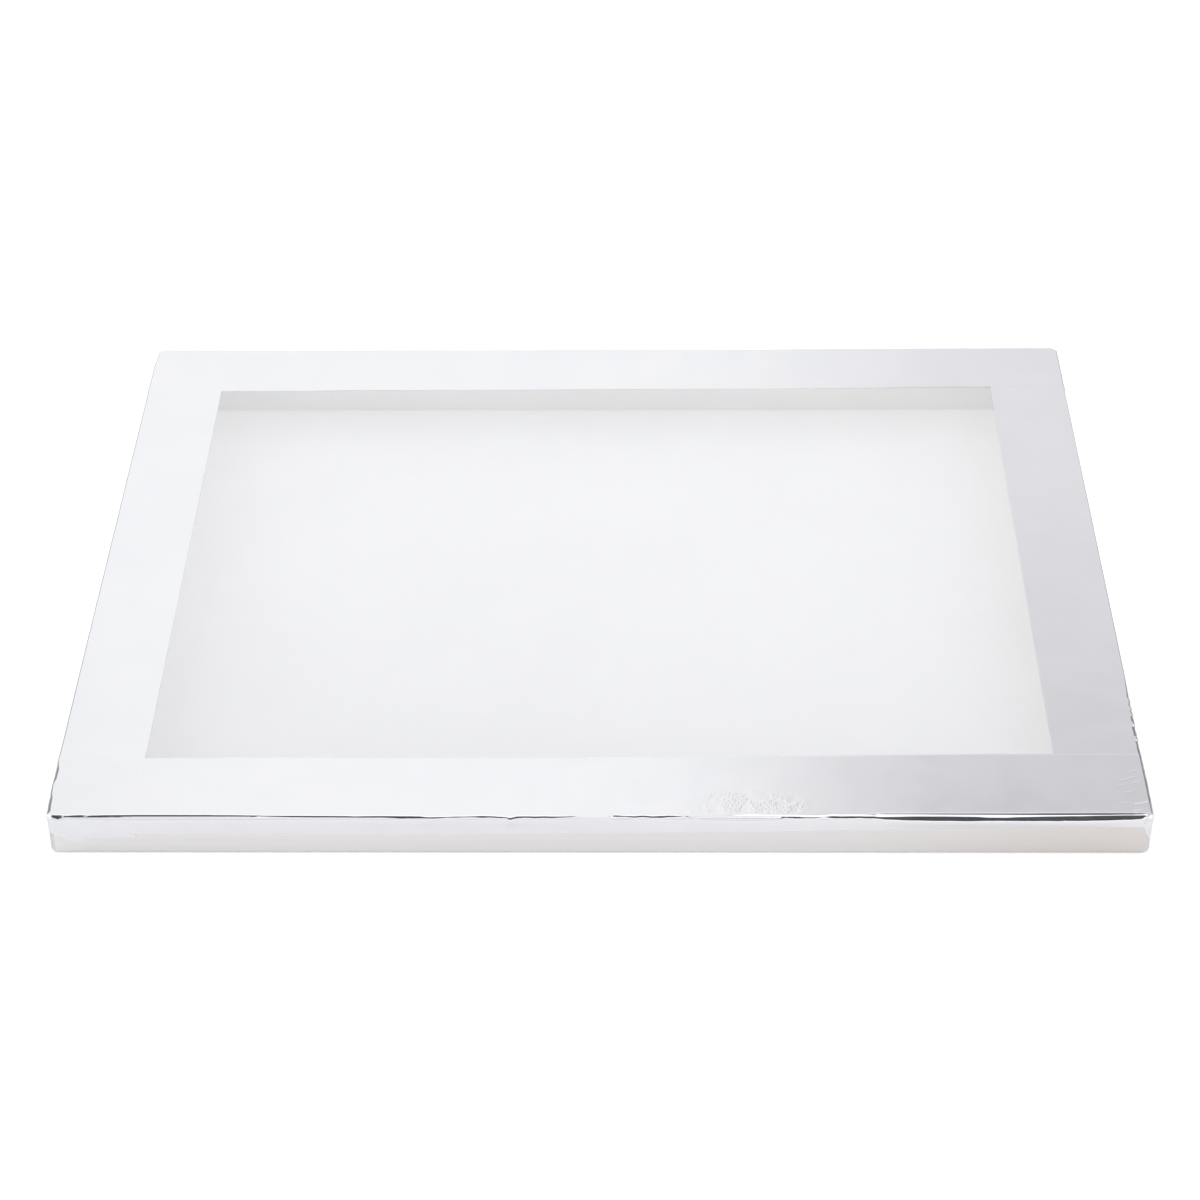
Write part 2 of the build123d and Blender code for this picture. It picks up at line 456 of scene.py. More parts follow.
def screen_fabric():
    """White monofilament woven plain, with painted shade between the threads and the gaps between
    threads as see-through.
    """
    material, n, shader = principled("screen_fabric")
    where = n.add("TexCoord").outputs["Object"]
    split = n.add("SeparateXYZ", Vector=where).outputs
    turns = 2 * math.pi / thread_pitch
    warp = n.math("SINE", n.math("MULTIPLY", split["X"], turns))
    weft = n.math("SINE", n.math("MULTIPLY", split["Y"], turns))
    weave = n.math("MAXIMUM", warp, weft)
    cloud = n.noise(where, (14, 14, 14), detail=3.0)
    # Random tone from the cloud, and painted shade that darkens the colour between the threads of
    # the weave.
    weave_shade_and_tone = n.math("ADD", n.smooth(cloud, 0.3, 0.7, 0.0, 0.6), n.smooth(weave, -1.0, 1.0, 0.0, 0.4))
    n.feed(
        shader.inputs["Base Color"], n.mix(weave_shade_and_tone, (0.925, 0.93, 0.925, 1), (0.955, 0.96, 0.955, 1))
    )
    shader.inputs["Roughness"].default_value = 0.55
    shader.inputs["Alpha"].default_value = mesh_cover
    n.feed(shader.inputs["Normal"], n.bump(weave, 0.000006))
    return material


def cured_adhesive():
    """Cured frame adhesive, amber and a little uneven."""
    material, n, shader = principled("cured_adhesive")
    where = n.add("TexCoord").outputs["Object"]
    patchy = n.noise(where, (90, 90, 90), detail=4.0)
    n.feed(
        shader.inputs["Base Color"],
        n.mix(n.smooth(patchy, 0.3, 0.7), (0.80, 0.72, 0.52, 1), (0.86, 0.81, 0.66, 1)),
    )
    n.feed(shader.inputs["Roughness"], n.smooth(patchy, 0.3, 0.7, 0.3, 0.5))
    n.feed(shader.inputs["Normal"], n.bump(patchy, 0.00005))
    return material


# ---------- shaping, in millimetres


def ramp(value, start, end):
    """0 up to start, 1 from end on and a smooth step between. It may run downwards."""
    share = np.clip((value - start) / (end - start), 0, 1)
    return share * share * (3 - 2 * share)


def bump(value, centre, reach):
    """1 at the centre, falling smoothly to 0 that far on both sides."""
    return ramp(np.abs(value - centre), reach, 0)


def along(where, *stations):
    """Values that pass smoothly through (place, value) stations along a line."""
    places, values = np.array(stations, float).T
    cell = np.clip(np.searchsorted(places, where) - 1, 0, len(places) - 2)
    share = ramp(where, places[cell], places[cell + 1])
    return values[cell] + (values[cell + 1] - values[cell]) * share


def chance(cell, seed):
    """A number from -1 to 1 for each whole-numbered cell, the same on every run."""
    table = np.random.default_rng(seed).uniform(-1, 1, 997)
    return table[np.mod(cell, 997)]


def wander(where, spacing, seed):
    """Smooth noise from -1 to 1 along a line, in steps of that spacing."""
    cell = np.floor(where / spacing).astype(int)
    share = ramp(where / spacing - cell, 0, 1)
    return chance(cell, seed) * (1 - share) + chance(cell + 1, seed) * share


def dapple(x, y, spacing, seed):
    """Smooth noise from -1 to 1 over a surface, in cells of that spacing."""
    row = np.floor(y / spacing).astype(int)
    share = ramp(y / spacing - row, 0, 1)

    def line(number):
        cell = np.floor(x / spacing).astype(int)
        part = ramp(x / spacing - cell, 0, 1)
        first = chance(cell * 31 + number * 57, seed)
        second = chance((cell + 1) * 31 + number * 57, seed)
        return first * (1 - part) + second * part

    return line(row) * (1 - share) + line(row + 1) * share


def link(name, points, faces, material, nodes=(), thickness=0.0):
    """A piece from points in millimetres, smooth shaded and set in the frame."""
    data = bpy.data.meshes.new(name)
    data.from_pydata((np.asarray(points) * MM).tolist(), [], faces)
    data.materials.append(material)
    piece = bpy.data.objects.new(name, data)
    bpy.context.scene.collection.objects.link(piece)
    if thickness:
        shell = piece.modifiers.new("thickness", "SOLIDIFY")
        shell.thickness = thickness * MM
        shell.offset = -1
        shell.use_even_offset = False
        made = bpy.data.meshes.new_from_object(
            piece.evaluated_get(bpy.context.evaluated_depsgraph_get())
        )
        piece.modifiers.clear()
        piece.data = made
        made.name = name
    piece.data.shade_smooth()
    piece.data.set_sharp_from_angle(angle=math.radians(55))
    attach(piece, "root")
    if nodes:
        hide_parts(*nodes)
    return piece


# ---------- foil tape

flat_x, flat_y, tape_seat = (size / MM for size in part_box("screen_mesh")[1])
rail_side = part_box("right_rail")[1].x / MM
rounding = rail_side - flat_x  # radius of the rails' long edges
flat_corner = 1.0  # radius of the corners of the flat
tape_gauge = 0.1
facet_tilt = math.radians(26)
step_tilt = math.radians(23)
lip_tilt = math.radians(36)
dip_bend, slope_bend = 0.08, 0.10  # lengths of tape that bend beside the step and the slope
bends = 2 * dip_bend + slope_bend
upper_bend = 0.45  # radius of the bend between the flat and the sloping band
tightest, widest = 0.2, 3.0  # radii of the bend down to the side
climb_start, climb_end = -14.0, 0.4  # from the edge of the strip that a tape climbs over

# Where each strip's inner edge lies, by place along its run. Measured in the photo by a
# program, then thinned and rounded.
inner_edges = {
    "front_tape": (
        (-302, -200.6), (-230, -200.5), (-200, -199.9), (-130, -200.4), (-28, -200.4), (28, -199.5),
        (57, -199.5), (113, -198.7), (170, -197.6), (226, -196.9), (302, -196.5),
    ),
    "back_tape": (
        (-302, 199.9), (-204, 200.0), (-170, 200.8), (-70, 201.0), (0, 201.8), (97, 201.9),
        (160, 202.7), (224, 203.7), (302, 204.0),
    ),
    "left_tape": ((-252, -256.8), (252, -256.9)),
    "right_tape": ((-252, 255.9), (-120, 256.1), (20, 256.4), (252, 256.7)),
}


def over_edge(name, run, value, outward):
    """0 beside that strip and 1 on it, for tape that climbs over its inner edge."""
    return ramp(outward * (value - along(run, *inner_edges[name])), climb_start, climb_end)


def over_right_end(x):
    """Layers at a strip's right end: a rise too slow to show a ridge, onto the right strip."""
    return 1 + ramp(x, 120, 256)


def spaced(*stations):
    """Places from the first station to the last, each stretch in steps of about its size."""
    places = [np.array([stations[0][0]], float)]
    for (start, step), (end, _) in zip(stations, stations[1:]):
        count = max(1, round((end - start) / step))
        places.append(np.linspace(start, end, count + 1)[1:])
    return np.concatenate(places)


def crease(x, y, start, end, width):
    """1 along the line from start to end, falling to 0 beside it and past its ends."""
    start, end = np.array(start, float), np.array(end, float)
    run = end - start
    length = np.hypot(*run)
    ahead = ((x - start[0]) * run[0] + (y - start[1]) * run[1]) / length
    aside = ((x - start[0]) * run[1] - (y - start[1]) * run[0]) / length
    within = ramp(ahead, -width, width) * ramp(ahead, length + width, length - width)
    return bump(aside, 0, width) * within


def reach(layers):
    """Distance from the inset line out to a side taped that thick."""
    return flat_corner + rounding + tape_gauge * layers


class Strip:
    """One strip of foil tape, folded over the side that lies at -Y in its own frame.

    Its x runs along the strip. A place is a distance along the folded outline from
    the strip's middle, which goes on round the corners and up the two ends.
    """

    turn = 0  # degrees from its own frame to the model's
    end_drop = 9.0  # how far its folded ends come down
    cover = 50.0  # how far its ends reach round the corners
    over = ()  # the strips that lie over its ends
    columns = spaced((-1, 0.005), (1, 0))  # places along the strip, as shares of its half
    depth = spaced((0, 0.15), (0.6, 0.4), (2.2, 1.2), (14, 2.6), (50.7, 0.26), (52, 0))
    side_rings = 10  # rows of faces down the side

    def __init__(self, name):
        self.name = name
        self.along_x = self.turn % 180 == 0
        half_sizes = (flat_x, flat_y) if self.along_x else (flat_y, flat_x)
        self.inset_x, self.inset_y = (size - flat_corner for size in half_sizes)
        self.corner = self.inset_x + flat_corner * math.pi / 2
        self.side_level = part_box(name)[0].z / MM
        self.end_level = tape_seat - self.end_drop
        quarter = flat_x + flat_y - 2 * flat_corner + flat_corner * math.pi / 2
        self.middle = quarter * self.turn / 90  # of the strip, along the whole outline
        self.outline = 4 * quarter

    # What each strip says for itself. Places are arrays.

    def radius(self, place):
        """Radius of the bend from the sloping band down to the side."""
        return 0.8 + 0.2 * wander(place, 17, 1)

    def facet(self, place):
        """Length of the sloping band that the fold leaves along the edge."""
        return 0.15 + 0 * place

    def tilt(self, place):
        """How steep that band is."""
        return facet_tilt + 0 * place

    def bulge(self, place):
        """How far the fold stands off the rail."""
        return 0.12 + 0.08 * wander(place, 30, 2)

    def start(self, place, layers):
        """Where the sloping band begins, along the tape from the inset line."""
        tilt = self.tilt(place)
        lower = self.radius(place) * (1 - np.sin(tilt)) + self.facet(place) * np.cos(tilt)
        return reach(layers) + self.bulge(place) - lower - upper_bend * np.sin(tilt)

    def step(self, place):
        """Length of the sharp step down where the tape is pressed in beside the fold."""
        return 0 * place

    def slope(self, place):
        """How steeply the tape falls from that step, or over the shoulder, to the fold."""
        return 0 * place

    def shoulder(self, place):
        """Length of that slope where there is no step."""
        return 0.6 + 0 * place

    def lip(self, place):
        """Length of the steeper band below the sloping one."""
        return 0 * place

    def crumple(self, place, level):
        """How far the folded side stands out, by place and height."""
        return 0.05 * dapple(place, level, 7, 3)

    def lower_edge(self, place):
        on_end = ramp(np.abs(place), self.corner - 1, self.corner + 1)
        return self.side_level + (self.end_level - self.side_level) * on_end

    def layers(self, x, y):
        return 1 + 0 * x

    def relief(self, x, y):
        """Rise of the flat, in the model's x and y."""
        return 0 * x

    def material(self):
        return foil_along_x if self.along_x else foil_along_y

    # The mesh.

    def shaped(self, quality, place, *rest):
        """That quality at each place, taken from the strip above where there is one."""
        values = getattr(self, quality)(place, *rest)
        for strip in self.over:
            there = place + self.middle - strip.middle
            there = there - self.outline * np.round(there / self.outline)
            covered = np.abs(there) < strip.corner + strip.cover
            values = np.where(covered, strip.shaped(quality, there, *rest), values)
        return values

    def to_model(self, x, y):
        angle = math.radians(self.turn)
        cos, sin = round(math.cos(angle)), round(math.sin(angle))
        return x * cos - y * sin, x * sin + y * cos

    def top(self, x, y):
        """Height of the tape's face over a point of the flat, in the model's x and y."""
        waves = 0.03 * dapple(x, y, 46, 11) + 0.012 * dapple(x, y, 15, 12)
        return tape_seat + tape_gauge * self.layers(x, y) + waves + self.relief(x, y)

    def flat_part(self):
        """The part on top, as rows of points from the outer edge to the inner one."""
        columns = self.columns * self.inset_x
        facing = 1 if self.turn in (0, -90) else -1
        run = columns if self.turn in (0, 90) else -columns
        inner = facing * along(run, *inner_edges[self.name])
        share = (self.depth / self.depth[-1])[:, None]
        y = -self.inset_y + share * (inner[None, :] + self.inset_y)
        x = np.broadcast_to(columns, y.shape)
        from_edge = inner[None, :] - y
        rubbed_down = 0.016 * ramp(from_edge, 0.9, 0)
        return np.stack((x, y, self.top(*self.to_model(x, y)) - rubbed_down), axis=-1)

    def fold(self, place, layers):
        """Out and down distances of the fold, by ring and place, from the inset line."""
        facet, tilt = self.shaped("facet", place), self.shaped("tilt", place)
        step, slope = self.shaped("step", place), self.shaped("slope", place)
        start, lip = self.shaped("start", place, layers), self.shaped("lip", place)
        unstepped = ramp(step, 0.1, 0)
        dip, beside = step_tilt * (1 - unstepped), slope * (1 - unstepped)
        level_part = start - bends - self.shaped("shoulder", place)
        level_part = np.maximum(level_part, 0.05) * unstepped
        before = step + level_part + bends
        start = np.maximum(start, before + 0.05)
        out_to_side = (
            step * np.cos(dip) + level_part + bends + (start - before) * np.cos(slope)
            + upper_bend * (np.sin(tilt) - np.sin(slope)) + facet * np.cos(tilt)
            + lip * np.cos(lip_tilt)
        )
        room = reach(layers) + self.shaped("bulge", place) - out_to_side
        after_lip = tilt + (lip_tilt - tilt) * ramp(lip, 0, 0.1)
        radius = np.clip(room / (1 - np.sin(after_lip)), tightest, widest)
        upright = math.pi / 2
        stretches = (  # length, first angle, last angle and number of rings
            (dip_bend, 0, dip, 2),
            (step, dip, dip, 2),
            (dip_bend, dip, beside, 2),
            (level_part, beside, beside, 1),
            (slope_bend, beside, slope, 1),
            (start - before, slope, slope, 2),
            (upper_bend * (tilt - slope), slope, tilt, 3),
            (facet, tilt, tilt, 4),
            (lip, lip_tilt, lip_tilt, 1),
            (radius * (upright - after_lip), after_lip, upright, 6),
        )
        out, down = [0 * place], [0 * place]
        for length, first, last, count in stretches:
            for k in range(count):
                angle = first + (last - first) * (k + 0.5) / count
                out.append(out[-1] + length / count * np.cos(angle))
                down.append(down[-1] + length / count * np.sin(angle))
        return np.array(out), np.array(down)

    def build(self):
        grid = self.flat_part()
        rows, count = grid.shape[:2]
        index = np.arange(rows * count).reshape(rows, count)
        quarter = np.radians(np.arange(15, 91, 15))
        turns = len(quarter)
        ends = (np.repeat(index[0, 0], turns), np.repeat(index[0, -1], turns))
        start = np.concatenate((index[::-1, 0], ends[0], index[0, 1:], ends[1], index[1:, -1]))
        aim = np.concatenate(
            (
                np.full(rows, -math.pi / 2),
                quarter - math.pi / 2,
                np.zeros(count - 1),
                quarter,
                np.full(rows - 1, math.pi / 2),
            )
        )
        base = grid.reshape(-1, 3)[start]
        past_corner = flat_corner * np.abs(aim) + base[:, 1] + self.inset_y
        place = np.where(aim == 0, base[:, 0], np.sign(aim) * (self.inset_x + past_corner))

        layers = self.layers(*self.to_model(base[:, 0], base[:, 1]))
        out, down = self.fold(place, layers)
        level = base[:, 2] - down
        left = level[-1] - self.lower_edge(place)
        share = np.linspace(0, 1, self.side_rings + 1)[1:, None]
        level = np.concatenate((level, level[-1] - share * left))
        back_to_rail = (out[-1] - reach(layers)) * ramp(share * left, 0.5, 7)
        out = np.concatenate((out, out[-1] - back_to_rail))
        folded = ramp(base[:, 2] - level, 0.8, 4)
        out = out + folded * self.shaped("crumple", place, level)
        x = base[:, 0] + np.sin(aim) * out
        y = base[:, 1] - np.cos(aim) * out
        rings = np.stack((x, y, level), axis=-1)[1:]

        points = np.concatenate((grid.reshape(-1, 3), rings.reshape(-1, 3)))
        model_x, model_y = self.to_model(points[:, 0], points[:, 1])
        points = np.stack((model_x, model_y, points[:, 2]), axis=-1)
        ring_index = rows * count + np.arange(rings.shape[0] * len(start)).reshape(-1, len(start))
        ring_index = np.concatenate((start[None, :], ring_index)).tolist()
        index = index.tolist()
        faces = [
            (index[j][i], index[j][i + 1], index[j + 1][i + 1], index[j + 1][i])
            for j in range(rows - 1)
            for i in range(count - 1)
        ]
        for upper, lower in zip(ring_index, ring_index[1:]):
            for a, b, c, d in zip(upper, lower, lower[1:], upper[1:]):
                faces.append((a, b, c) if a == d else (a, b, c, d))
        material = self.material()
        return link(
            self.name + "_foil", points, faces, material, [self.name], tape_gauge
        )


class FrontTape(Strip):
    """Its start, facet, bulge, step and ridge are mostly a program's output.

    It measured the dark line along the front edge of the photo, column by column.
    """

    columns = spaced(
        (-301.3, 1.2), (-236, 2.2), (-120, 1.1), (20, 0.9), (48, 1.1), (126, 1.1), (150, 1.8),
        (240, 1.0), (296, 0.6), (301.3, 0),
    ) / 301.3
    depth = spaced((0, 0.15), (0.6, 0.4), (2.2, 0.9), (14, 2.6), (50.7, 0.26), (52, 0))

    def start(self, place, layers):
        base = along(
            place, (-330, 1.16), (-220, 1.21), (-210, 1.37), (-200, 1.48), (-188, 1.62),
            (-183, 1.87), (-152, 1.97), (-139, 2.07), (-134, 2.32), (-129, 2.17), (-119, 2.04),
            (-104, 2.17), (-99, 2.27), (-94.5, 3.07), (-85, 2.84), (-79, 2.47), (-74, 2.47),
            (-69.5, 2.27), (-64.5, 1.92), (-59.5, 2.12), (-54, 2.67), (-50.5, 3.02), (-49, 3.82),
            (-47.5, 3.32), (-45, 2.42), (-40, 2.22), (-35, 2.42), (-30, 2.22), (-25, 2.42),
            (-15, 2.32), (-6, 3), (5, 3), (9, 1.37), (14.5, 1.87), (19.5, 2.07), (24.5, 1.62),
            (29.5, 2.17), (34.5, 1.87), (39.5, 1.62), (44.5, 1.92), (54, 2.5), (62, 2.0),
            (74, 1.95), (84, 2.1), (94, 2.3), (104, 2.3), (109, 2.35), (114, 2.85), (119, 2.85),
            (124, 2.5), (129, 1.8), (134, 2.05), (139, 1.93), (144, 2), (149, 2.2), (154, 2.4),
            (159, 2.36), (173, 2), (188, 2), (203, 2.17), (208, 2.25), (213, 2.75), (223, 2.85),
            (233, 2.43), (248, 2.1), (263, 1.94), (277, 1.61), (292, 1.41), (300, 1.3),
            (303, 2.6), (330, 2.6),
        )
        return base + 0.03 * wander(place, 4, 21)

    def facet(self, place):
        wide = along(
            place, (-330, 0.94), (-220, 0.92), (-210, 0.77), (-200, 0.67), (-188, 0.55),
            (-184, 0.48), (-178, 0.62), (-168, 0.88), (-154, 0.92), (-139, 0.9), (-134, 0.74),
            (-129, 0.92), (-119, 0.98), (-114, 1.17), (-109, 1.5), (-104, 1.37), (-99, 1.27),
            (-95, 0.78), (-89, 0.82), (-84, 0.48), (-79, 0.64), (-74, 0.52), (-69.5, 0.56),
            (-64.5, 1.1), (-59.5, 0.82), (-54, 0.8), (-50.5, 0.57), (-49, 1.17), (-45, 1.1),
            (-40, 0.86), (-35, 0.98), (-25, 0.9), (-20, 0.64), (-15, 0.5), (-12, 0.02), (5, 0.02),
            (9.5, 0.84), (14.5, 0.5), (19.5, 0.87), (29.5, 0.89), (34.5, 1.12), (39.5, 0.9),
            (44.5, 0.44), (47, 0.1), (50, 0.3), (54, 1), (100, 1), (102, 0.6), (104, 0.75),
            (109, 1.05), (114, 0.6), (119, 0.57), (124, 0.1), (129, 1.3), (134, 1.19),
            (139, 1.27), (144, 1), (149, 1.2), (154, 1.1), (159, 1.64), (173, 2.5), (188, 2.78),
            (203, 2.73), (208, 2.63), (213, 2.08), (223, 2.03), (233, 2.49), (248, 2.87),
            (254, 2.98), (255.3, 2.98), (256.3, 2.45), (257.3, 2.95), (277, 3.02), (292, 2.74),
            (298, 2.3), (301.5, 0.3), (304, 0.3), (308, 1), (330, 1.2), (356, 0.9),
        )
        uneven = 0.05 * wander(place, 6, 22) * ramp(place, 150, 160)
        ragged = 0.5 * wander(place, 3, 23) * ramp(place, 304, 308)
        return np.maximum(wide + uneven + ragged, 0.02)

    def tilt(self, place):
        """Steeper beside the crinkled patch."""
        return np.radians(24 + 18 * ramp(place, 46, 54) * ramp(place, 102, 98))

    def bulge(self, place):
        base = along(
            place, (-330, 0.12), (-216, 0.12), (-184, 0.08), (-164, 0.25), (-134, 0.35),
            (-114, 0.4), (-100, 0.4), (-60, 0.2), (-51, 0.4), (-49, 1.4), (-45, 0.6), (-35, 0.3),
            (8, 0), (48, 0), (64, 0.28), (76, 0.31), (90, 0.23), (104, 0.05), (140, 0.2),
            (150, 0.25), (159, 0.71), (173, 1.15), (188, 1.25), (203, 1.32), (263, 1.34),
            (277, 1.12), (292, 0.6), (298, 0.4), (302, 0.6), (306, 1.2), (314, 1), (356, 0.9),
        )
        return base + 0.03 * wander(place, 9, 28)

    def step(self, place):
        return along(
            place, (152, 0), (158, 0.35), (173, 0.4), (188, 0.57), (203, 0.63), (218, 0.71),
            (233, 0.82), (248, 0.99), (277, 1.04), (292, 0.82), (299, 0.6), (302, 0),
        )

    def slope(self, place):
        return np.radians(
            along(
                place, (-330, 11), (-20, 11), (-12, 3), (5, 3), (10, 11), (44, 11), (48, 0),
                (70, 0), (80, 14), (148, 14), (156, 11), (300, 11), (303, 0), (330, 0),
            )
        )

    def lip(self, place):
        return along(
            place, (-330, 0), (-190, 0), (-165, 0.25), (44, 0.25), (48, 0), (102, 0), (106, 0.3),
            (298, 0.35), (302, 0), (330, 0),
        )

    def shoulder(self, place):
        return along(
            place, (-330, 0.6), (60, 0.6), (76, 0.9), (84, 1.3), (146, 1.2), (152, 0.6), (330, 0.6)
        )

    def crumple(self, place, level):
        gentle = 0.04 * dapple(place, level, 8, 24)
        scrap = ramp(place, 294, 300) * ramp(place, 322, 310)
        return gentle + scrap * (0.35 * dapple(place, level, 2.2, 25) + 0.2)

    def lower_edge(self, place):
        edge = along(
            place, (-330, 16.6), (-303, 16.6), (-301, 14.0), (-220, 14.1), (-110, 14.2), (0, 14.9),
            (78, 15.6), (144, 17.1), (221, 18.5), (276, 19.2), (300.4, 19.2), (301.3, 15.7),
            (304, 15.8), (306, 16.6), (360, 16.4),
        )
        return edge + 0.12 * wander(place, 6, 26) * ramp(place, 60, 160)

    def layers(self, x, y):
        return over_right_end(x)

    def material(self):
        return handled_foil

    def relief(self, x, y):
        ridge = along(
            x, (-302, 0.09), (-200, 0.09), (-180, 0), (146, 0), (156, 0.05), (233, 0.06),
            (248, 0.19), (263, 0.25), (277, 0.3), (292, 0.28), (300, 0.2), (304, 0),
        ) * ramp(y, -249.3, -250.5)
        patch = ramp(x, 44, 76) * ramp(x, 122, 108) * ramp(y, -250.4, -249) * ramp(y, -226, -242)
        return ridge + 0.03 * patch * dapple(x, y, 3.4, 27)


class BackTape(Strip):
    turn = 180

    def bulge(self, place):
        """Larger towards the right, where its places are lowest."""
        base = along(place, (-310, 1.3), (-170, 1.1), (-90, 0.3), (300, 0.0))
        return base + 0.05 * wander(place, 11, 29)

    def layers(self, x, y):
        return over_right_end(x)


class LeftTape(Strip):
    """Over the front strip, its start and facet come from that program too."""

    turn = -90
    cover = 44.4
    end_drop = 14.8
    columns = spaced((-251.5, 2.4), (190, 0.8), (251.5, 0)) / 251.5
    depth = spaced((0, 0.15), (0.6, 0.45), (11, 1.0), (20, 0.5), (36, 1.3), (46.7, 0.26), (48, 0))
    side_rings = 18

    def radius(self, place):
        return along(
            place, (-300, 0.8), (100, 0.8), (150, 1.2), (190, 1.2), (250, 0.7)
        ) + 0.15 * wander(place, 9, 31)

    def start(self, place, layers):
        over_front = along(
            place, (250, 1.5), (255.2, 1.5), (256.8, 1.6), (258.5, 1.95), (260.1, 2.0),
            (261.8, 1.85), (263.5, 1.6), (266, 1.5), (268.4, 1.38), (270, 1.65), (271.7, 1.93),
            (273.4, 1.67), (276.7, 1.63), (280, 1.45), (285, 1.38), (298, 1.25),
        )
        return np.where(place > 251, over_front, super().start(place, layers))

    def facet(self, place):
        return along(
            place, (-300, 0.1), (202, 0.2), (211, 1.6), (218, 1.5), (225, 0.4), (230, 0.7),
            (238, 1.8), (248, 2.0), (251, 1.0), (252, 1.4), (253.5, 2.0), (255.2, 2.8),
            (256.8, 1.8), (258.5, 1.0), (260.1, 0.7), (261.8, 0.9), (263.5, 1.25), (267, 1.38),
            (270, 1.3), (271.7, 1.1), (275, 1.2), (280, 1.37), (285, 1.18), (288.2, 1.4),
            (289.9, 1.1), (291.6, 0.92), (298, 0.94),
        )

    def slope(self, place):
        return math.radians(11) * ramp(place, 251, 253)

    def bulge(self, place):
        return along(
            place, (-296, 0.15), (-252, 0.2), (-230, 1.2), (200, 1.2), (225, 1.0), (240, 0.7),
            (251, 0.3), (255.2, 1.0), (259.6, 0.0), (298, 0.0),
        )

    def lower_edge(self, place):
        past = self.corner
        return along(
            place, (-past - 44, 10.9), (-past - 2, 11.2), (-past + 2, self.side_level),
            (past - 2.5, self.side_level + 0.3), (past - 1.2, 14.7), (past + 3, 12.6),
            (past + 8.2, 9.8), (past + 13.3, 7.3), (past + 15.3, 8.0), (past + 16.1, 13.3),
            (past + 20.6, 11.2), (past + 21.6, 10.5), (past + 22.1, 13.5), (past + 22.7, 10.8),
            (past + 43.4, 11.4),
        )

    def crumple(self, place, level):
        past = place - self.corner
        torn = 0.5 * bump(past, 22.6, 0.9) * ramp(level, 18.5, 16.5)
        pocket = crease(past, level, (0.3, 24), (3.9, 18.6), 0.8)
        peeled = crease(past, level, (24.4, 21.8), (37.5, 25.0), 0.9)
        return 0.05 * dapple(place, level, 7, 32) + torn - 0.4 * pocket + 0.5 * peeled

    def layers(self, x, y):
        on_front = over_edge("front_tape", x, y, -1)
        on_back = over_edge("back_tape", x, y, 1)
        return 1 + on_front + on_back


class RightTape(Strip):
    turn = 90
    end_drop = 4.0
    columns = spaced((-251.5, 0.8), (-120, 1.6), (251.5, 0)) / 251.5

    def radius(self, place):
        return along(
            place, (-255, 1.6), (-140, 1.5), (-120, 0.9), (-40, 0.6), (60, 0.35), (300, 0.3)
        )

    def facet(self, place):
        ragged = 0.7 * wander(place, 3.5, 41) * ramp(place, -125, -150) * ramp(place, -215, -200)
        base = along(place, (-260, 1.1), (-160, 1.1), (-138, 0.5), (-120, 0.2), (300, 0.08))
        return np.maximum(base + ragged, 0.06)

    def bulge(self, place):
        ragged = 0.35 * wander(place, 2.6, 42) * ramp(place, -130, -145) * ramp(place, -205, -196)
        base = along(
            place, (-296, 0.1), (-252, 0.2), (-205, 0.5), (-190, 0.9), (235, 0.9), (251, 0.1)
        )
        return base + ragged


# ---------- mesh, welds and rails


screen_trim = 1.3  # how far inside the flat's outline the mesh is cut off


def make_screen(material):
    """The stretched fabric: one flat sheet at the middle of its thickness."""
    low, high = (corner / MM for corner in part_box("screen_mesh"))
    level = (low.z + high.z) / 2
    x_lines = np.linspace(-1, 1, 63) * (flat_x - screen_trim)
    y_lines = np.linspace(-1, 1, 53) * (flat_y - screen_trim)
    points = np.array([(x, y, level) for y in y_lines for x in x_lines])
    wide = len(x_lines)
    faces = [
        (j * wide + i, j * wide + i + 1, (j + 1) * wide + i + 1, (j + 1) * wide + i)
        for j in range(len(y_lines) - 1)
        for i in range(wide - 1)
    ]
    sheet = link("screen_fabric", points, faces, material, ["screen_mesh"])


def make_film(material):
    """The film of adhesive on the rails, squeezed out a little unevenly at its edges."""
    low, high = (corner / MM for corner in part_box("adhesive_film"))
    rail_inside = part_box("right_rail")[0].x / MM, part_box("back_rail")[0].y / MM
    inner = np.array(rail_inside) + rounding
    outer = np.array((flat_x, flat_y)) - screen_trim - 0.1
    stops = np.linspace(-1, 1, 121)[:-1]
    side = np.ones_like(stops)
    way_x = np.concatenate((stops, side, -stops, -side))
    way_y = np.concatenate((-side, stops, side, -stops))
    place = np.arange(len(way_x)) * 4.5  # about their distance in millimetres
    count = len(place)
    points = []
    for level, spread in ((low.z, 0.0), (high.z, -0.1)):
        inward = inner - 0.35 * wander(place, 9, 61)[:, None] - spread
        outward = outer + 0.1 * wander(place, 7, 62)[:, None] + spread
        for edge in (outward, inward):
            line = (way_x * edge[:, 0], way_y * edge[:, 1], level + 0 * way_x)
            points.append(np.stack(line, axis=-1))
    ring = np.arange(4 * count).reshape(4, count)[[0, 2, 3, 1]]
    square = ((0, 0), (0, 1), (1, 1), (1, 0))
    faces = [
        tuple(int(ring[(j + down) % 4, (i + on) % count]) for down, on in square)
        for j in range(4)
        for i in range(count)
    ]
    link("adhesive_bed", np.concatenate(points), faces, material, ["adhesive_film"])


bead_crown = 0.30  # how far a bead's middle stands out
ripple_pitch, ripple_height = 1.7, 0.16
ripple_lag = 0.9  # how far a ripple's middle trails its ends


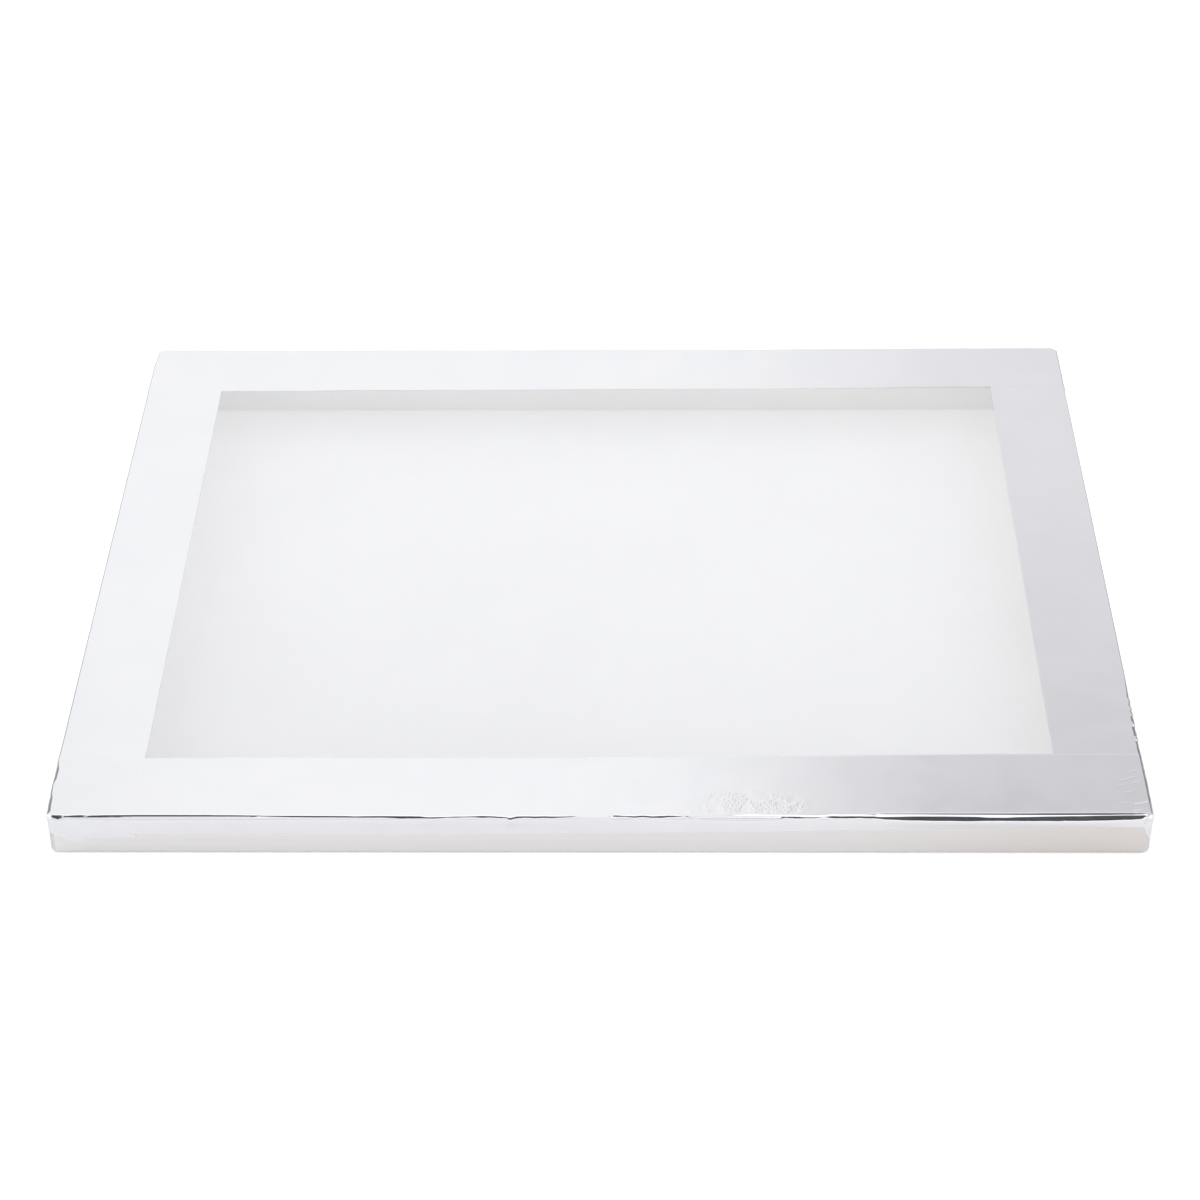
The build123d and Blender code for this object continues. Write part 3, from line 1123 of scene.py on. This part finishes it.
def make_bead(corner, material):
    """The fillet weld inside a corner, with a ripple for each dip of the rod."""
    node = corner + "_inner_weld"
    low, high = (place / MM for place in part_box(node))
    leg = high.x - low.x
    side_x = -1 if low.x < 0 else 1
    side_y = -1 if low.y < 0 else 1
    root_x = low.x if side_x < 0 else high.x
    root_y = low.y if side_y < 0 else high.y
    levels = np.linspace(low.z, high.z, 103)
    across = np.linspace(0, 1, 13)
    points = []
    for level in levels:
        uneven = 0.25 * wander(np.array(level), 3.0, 51)
        for share in across:
            crown = 4 * share * (1 - share)
            phase = (level + ripple_lag * crown + uneven) / ripple_pitch % 1
            rise = ripple_height * crown * math.sin(math.pi * phase) ** 0.7
            ends = min(level - low.z, high.z - level, 1.0)
            out = (bead_crown * crown + rise) * (0.4 + 0.6 * ends)
            along_x, along_y = leg * (1 - share), leg * share
            points.append((along_x + out * 0.7, along_y + out * 0.7, level))
        points.append((0.0, 0.0, level))
    ring = len(across) + 1
    faces = [
        (j + i, j + (i + 1) % ring, j + ring + (i + 1) % ring, j + ring + i)
        for j in range(0, (len(levels) - 1) * ring, ring)
        for i in range(ring)
    ]
    faces.append(tuple(range(ring))[::-1])
    last = (len(levels) - 1) * ring
    faces.append(tuple(range(last, last + ring)))
    points = np.array(points)
    points[:, 0] = root_x - side_x * points[:, 0]
    points[:, 1] = root_y - side_y * points[:, 1]
    if side_x * side_y < 0:
        faces = [face[::-1] for face in faces]
    link(corner + "_inner_bead", points, faces, material, [node])


def dress(node_name, material):
    """Gives a CAD node that finish in all of its slots."""
    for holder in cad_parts[node_name].material_slots:
        holder.material = material


make_camera()
make_world()
make_floor()

foil_along_x = foil("foil_along_x", along_x=True)
foil_along_y = foil("foil_along_y", along_x=False)
handled_foil = foil("handled_foil", along_x=True, handled=front_handling)
left_strip = LeftTape("left_tape")
front_strip, back_strip = FrontTape("front_tape"), BackTape("back_tape")
right_strip = RightTape("right_tape")
front_strip.over = back_strip.over = (left_strip,)
right_strip.over = (front_strip, back_strip)
for strip in (right_strip, front_strip, back_strip, left_strip):
    strip.build()

make_screen(screen_fabric())
bead_metal = weld_bead()
ground_metal = ground_weld()
for corner in ("front_left", "front_right", "back_left", "back_right"):
    make_bead(corner, bead_metal)
    for part in ("top_weld", "bottom_weld", "outer_weld"):
        dress(corner + "_" + part, ground_metal)
long_rail = extruded("extruded_along_x", along_x=True)
short_rail = extruded("extruded_along_y", along_x=False)
for end in ("front", "back"):
    dress(end + "_rail", long_rail)
for side in ("left", "right"):
    dress(side + "_rail", short_rail)
make_film(cured_adhesive())

bpy.context.scene.view_settings.view_transform = "Standard"
